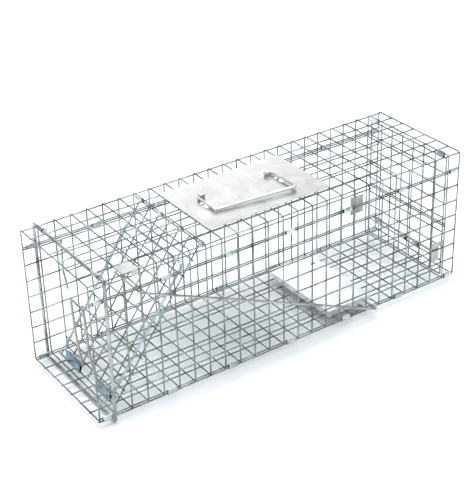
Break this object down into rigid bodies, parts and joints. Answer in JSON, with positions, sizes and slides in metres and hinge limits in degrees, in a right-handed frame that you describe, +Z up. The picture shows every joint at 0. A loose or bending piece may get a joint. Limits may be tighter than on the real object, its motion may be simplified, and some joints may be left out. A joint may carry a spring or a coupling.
{
  "type": "live catch trap",
  "caption": "Collapsible one-door live animal cage trap of galvanised welded mesh with trigger pan, drop door and folding carry handle.",
  "frame": {"origin": "on the ground under the middle of the whole trap's box", "axes": "+X towards the fixed rear end, the door end at -X, +Y towards the far side without the trigger rod, +Z up"},
  "size_m": [0.6334, 0.2085, 0.2288],
  "materials": {
    "mesh_wire": "bright galvanised wire",
    "zinc_rod": "zinc-plated rod, satin",
    "blue_zinc": "blue-passivated zinc, satin",
    "bright_rod": "bright zinc-plated rod",
    "clip_steel": "folded galvanised strip, satin",
    "galvanised_sheet": "galvanised sheet, satin with soft spangle"
  },
  "bodies": {
    "cage": {"bottom_panel": "mesh_wire", "side_panel_near": "mesh_wire", "side_panel_far": "mesh_wire", "top_panel": "mesh_wire", "top_flange_near": "mesh_wire", "top_flange_far": "mesh_wire", "ferrules_bottom_near": "clip_steel", "ferrules_bottom_far": "clip_steel", "ferrules_top_near": "clip_steel", "ferrules_top_far": "clip_steel", "hoop_clips": "clip_steel", "door_ring_clips": "clip_steel", "rear_hinge_clips": "clip_steel", "handle_plate": "galvanised_sheet", "handle_brackets": "galvanised_sheet", "trigger_bracket": "galvanised_sheet", "latch_plate_near": "galvanised_sheet", "latch_plate_far": "galvanised_sheet"},
    "door": {"door_panel": "mesh_wire", "bail_clips": "blue_zinc"},
    "bail": {"lock_bail": "blue_zinc"},
    "loop": {"pull_loop": "zinc_rod"},
    "trigger": {"trigger_pan": "galvanised_sheet", "trigger_rod": "zinc_rod"},
    "handle": {"carry_handle": "bright_rod"},
    "hoop": {"front_hoop": "zinc_rod"},
    "rear_gate": {"rear_panel": "mesh_wire", "lock_rod_clips": "clip_steel"},
    "lock_rod": {"rear_lock_rod": "zinc_rod"},
    "hook": {"hanging_hook": "zinc_rod"}
  },
  "joints": [
    {"name": "door_hinge", "type": "hinge", "parent": "cage", "child": "door", "pos_m": [-0.1378, 0.0057, 0.21568], "axis": [0, 1, 0], "range_deg": [0, 28]},
    {"name": "bail_hinge", "type": "hinge", "parent": "door", "child": "bail", "pos_m": [-0.28089, 0.0057, 0.02483], "axis": [0, 1, 0], "range_deg": [-2.5, 0]},
    {"name": "loop_hinge", "type": "hinge", "parent": "door", "child": "loop", "pos_m": [-0.28089, 0.0057, 0.02483], "axis": [0, 1, 0], "range_deg": [-28, 0]},
    {"name": "trigger_rock", "type": "hinge", "parent": "cage", "child": "trigger", "pos_m": [0.1416, 0.0057, 0.00978], "axis": [0, 1, 0], "range_deg": [-1, 0]},
    {"name": "handle_pivot", "type": "hinge", "parent": "cage", "child": "handle", "pos_m": [-0.0106, 0.0223, 0.22548], "axis": [1, 0, 0], "range_deg": [-175, 0]},
    {"name": "hoop_hinge", "type": "hinge", "parent": "cage", "child": "hoop", "pos_m": [-0.294, 0.0057, 0.22218], "axis": [0, 1, 0], "range_deg": [0, 90]},
    {"name": "rear_hinge", "type": "hinge", "parent": "cage", "child": "rear_gate", "pos_m": [0.294, 0.0057, 0.21357], "axis": [0, 1, 0], "range_deg": [-80, 0]},
    {"name": "lock_slide", "type": "slide", "parent": "rear_gate", "child": "lock_rod", "axis": [0, 1, 0], "range_m": [-0.012, 0]},
    {"name": "hook_hinge", "type": "hinge", "parent": "cage", "child": "hook", "pos_m": [-0.2902, 0.0333, 0.22018], "axis": [0, 1, 0], "range_deg": [0, 50]}
  ],
  "couplings": [
    {"joint": "loop_hinge", "follows": "door_hinge", "ratio": -1}
  ]
}
